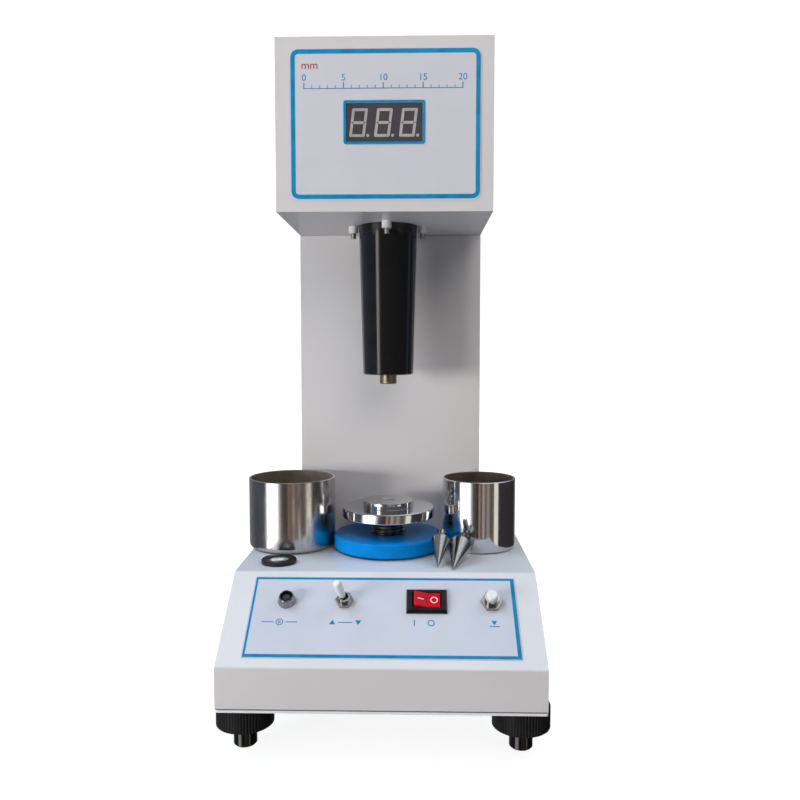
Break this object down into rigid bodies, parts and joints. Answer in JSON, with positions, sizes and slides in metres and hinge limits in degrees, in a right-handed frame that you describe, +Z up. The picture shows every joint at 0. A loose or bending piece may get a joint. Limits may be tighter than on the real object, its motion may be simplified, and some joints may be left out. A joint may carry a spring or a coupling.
{
  "type": "liquid and plastic limit tester",
  "caption": "Digital cone penetrometer for soil: sheet steel base with sloping panel, column and head, falling rod in a tapered tube, screw lifting stage, loose cups and cones.",
  "frame": {"origin": "on the bench under the middle of the footprint", "axes": "+X to the right seen from the front, +Y to the back, +Z up"},
  "size_m": [0.1686, 0.1984, 0.3603],
  "materials": {
    "paint": "semi-gloss light grey powder coat with fine orange peel",
    "label_film": "satin printed polyester film, pale lavender white",
    "chrome": "bright plated",
    "worn_chrome": "plated, scuffed satin",
    "plated_steel": "zinc plated",
    "turned_steel": "fine turned",
    "thread_steel": "oiled thread",
    "blue_plastic": "satin azure blue",
    "black_gloss": "glossy black",
    "black_matte": "fine matt black",
    "white_plastic": "glossy white",
    "red_plastic": "glossy signal red",
    "lamp_lens": "dark clear lens, unlit",
    "level_glass": "clear",
    "brass": "dull turned",
    "aluminium": "milled",
    "circuit_board": "green solder resist",
    "scale_film": "etched scale",
    "copper_wire": "enamelled winding",
    "core_steel": "laminated core"
  },
  "bodies": {
    "frame": {"base_shell": "paint", "base_plate": "paint", "column_shell": "paint", "head_shell": "paint", "rear_cover": "paint", "control_label": "label_film", "head_label": "label_film", "lamp_bezel": "chrome", "toggle_nut": "chrome", "button_body": "chrome", "button_nut": "chrome", "base_plate_screws": "plated_steel", "foot_nuts": "plated_steel", "rear_cover_screws": "plated_steel", "toggle_body": "plated_steel", "flange_screws": "plated_steel", "lift_bush": "plated_steel", "magnet_bracket": "plated_steel", "magnet_yoke": "plated_steel", "tube_cover": "black_gloss", "rocker_housing": "black_gloss", "display_module": "black_gloss", "level_ring": "black_matte", "mains_inlet": "black_matte", "lamp_lens": "lamp_lens", "level_vial": "level_glass", "guide_bushes": "brass", "mechanism_plate": "aluminium", "guide_tube": "aluminium", "read_head": "circuit_board", "display_board": "circuit_board", "main_board": "circuit_board", "magnet_coil": "copper_wire", "transformer_coil": "copper_wire", "transformer_core": "core_steel"},
    "lift_wheel": {"lift_wheel": "blue_plastic"},
    "stage": {"lift_screw": "thread_steel", "stage_plate": "chrome", "stage_seat": "chrome", "stage_screw": "plated_steel"},
    "rod": {"measuring_rod": "turned_steel", "rod_tip": "brass", "scale_strip": "scale_film"},
    "toggle": {"toggle_lever": "chrome", "toggle_sleeve": "white_plastic"},
    "rocker": {"rocker": "red_plastic"},
    "button": {"button_cap": "white_plastic"},
    "large_cup": {"large_cup": "worn_chrome"},
    "small_cup": {"small_cup": "chrome"},
    "small_cone": {"small_cone": "turned_steel"},
    "large_cone": {"large_cone": "turned_steel"},
    "foot_pad_front_left": {"foot_pad_front_left": "black_gloss"},
    "foot_knob_front_left": {"foot_knob_front_left": "black_matte"},
    "foot_pad_front_right": {"foot_pad_front_right": "black_gloss"},
    "foot_knob_front_right": {"foot_knob_front_right": "black_matte"},
    "foot_pad_rear_left": {"foot_pad_rear_left": "black_gloss"},
    "foot_knob_rear_left": {"foot_knob_rear_left": "black_matte"},
    "foot_pad_rear_right": {"foot_pad_rear_right": "black_gloss"},
    "foot_knob_rear_right": {"foot_knob_rear_right": "black_matte"}
  },
  "joints": [
    {"name": "wheel_turn", "type": "hinge", "parent": "frame", "child": "lift_wheel", "pos_m": [0, -0.002, 0.0864], "axis": [0, 0, 1], "range_deg": [-3600, 1440]},
    {"name": "stage_lift", "type": "slide", "parent": "frame", "child": "stage", "axis": [0, 0, 1], "range_m": [-0.008, 0.02]},
    {"name": "rod_fall", "type": "slide", "parent": "frame", "child": "rod", "axis": [0, 0, -1], "range_m": [0, 0.022]},
    {"name": "toggle_throw", "type": "hinge", "parent": "frame", "child": "toggle", "pos_m": [-0.0199, -0.06959, 0.07058], "axis": [0, 0.7972, 0.6037], "range_deg": [0, 22]},
    {"name": "rocker_press", "type": "hinge", "parent": "frame", "child": "rocker", "pos_m": [0.0223, -0.06971, 0.07074], "axis": [0, -0.7972, -0.6037], "range_deg": [0, 20]},
    {"name": "button_press", "type": "slide", "parent": "frame", "child": "button", "axis": [0, 0.6037, -0.7972], "range_m": [0, 0.002], "stiffness_N_per_m": 300},
    {"name": "large_cup_lift", "type": "slide", "parent": "frame", "child": "large_cup", "axis": [0, 0, 1], "range_m": [0, 0.06]},
    {"name": "small_cup_lift", "type": "slide", "parent": "frame", "child": "small_cup", "axis": [0, 0, 1], "range_m": [0, 0.06]},
    {"name": "small_cone_lift", "type": "slide", "parent": "frame", "child": "small_cone", "axis": [0, 0, 1], "range_m": [0, 0.045]},
    {"name": "large_cone_lift", "type": "slide", "parent": "frame", "child": "large_cone", "axis": [0.6, -0.5, 0.6245], "range_m": [0, 0.045]},
    {"name": "foot_height_front_left", "type": "slide", "parent": "frame", "child": "foot_pad_front_left", "axis": [0, 0, 1], "range_m": [-0.008, 0.0018]},
    {"name": "foot_turn_front_left", "type": "hinge", "parent": "foot_pad_front_left", "child": "foot_knob_front_left", "pos_m": [-0.0697, -0.0792, 0.017], "axis": [0, 0, 1], "range_deg": [-2304, 518.4]},
    {"name": "foot_height_front_right", "type": "slide", "parent": "frame", "child": "foot_pad_front_right", "axis": [0, 0, 1], "range_m": [-0.008, 0.0018]},
    {"name": "foot_turn_front_right", "type": "hinge", "parent": "foot_pad_front_right", "child": "foot_knob_front_right", "pos_m": [0.0697, -0.0792, 0.017], "axis": [0, 0, 1], "range_deg": [-2304, 518.4]},
    {"name": "foot_height_rear_left", "type": "slide", "parent": "frame", "child": "foot_pad_rear_left", "axis": [0, 0, 1], "range_m": [-0.008, 0.0018]},
    {"name": "foot_turn_rear_left", "type": "hinge", "parent": "foot_pad_rear_left", "child": "foot_knob_rear_left", "pos_m": [-0.0697, 0.0768, 0.017], "axis": [0, 0, 1], "range_deg": [-2304, 518.4]},
    {"name": "foot_height_rear_right", "type": "slide", "parent": "frame", "child": "foot_pad_rear_right", "axis": [0, 0, 1], "range_m": [-0.008, 0.0018]},
    {"name": "foot_turn_rear_right", "type": "hinge", "parent": "foot_pad_rear_right", "child": "foot_knob_rear_right", "pos_m": [0.0697, 0.0768, 0.017], "axis": [0, 0, 1], "range_deg": [-2304, 518.4]}
  ],
  "couplings": [
    {"joint": "wheel_turn", "follows": "stage_lift", "rad_per_m": -3141.6},
    {"joint": "foot_turn_front_left", "follows": "foot_height_front_left", "rad_per_m": 5026.5},
    {"joint": "foot_turn_front_right", "follows": "foot_height_front_right", "rad_per_m": 5026.5},
    {"joint": "foot_turn_rear_left", "follows": "foot_height_rear_left", "rad_per_m": 5026.5},
    {"joint": "foot_turn_rear_right", "follows": "foot_height_rear_right", "rad_per_m": 5026.5}
  ]
}
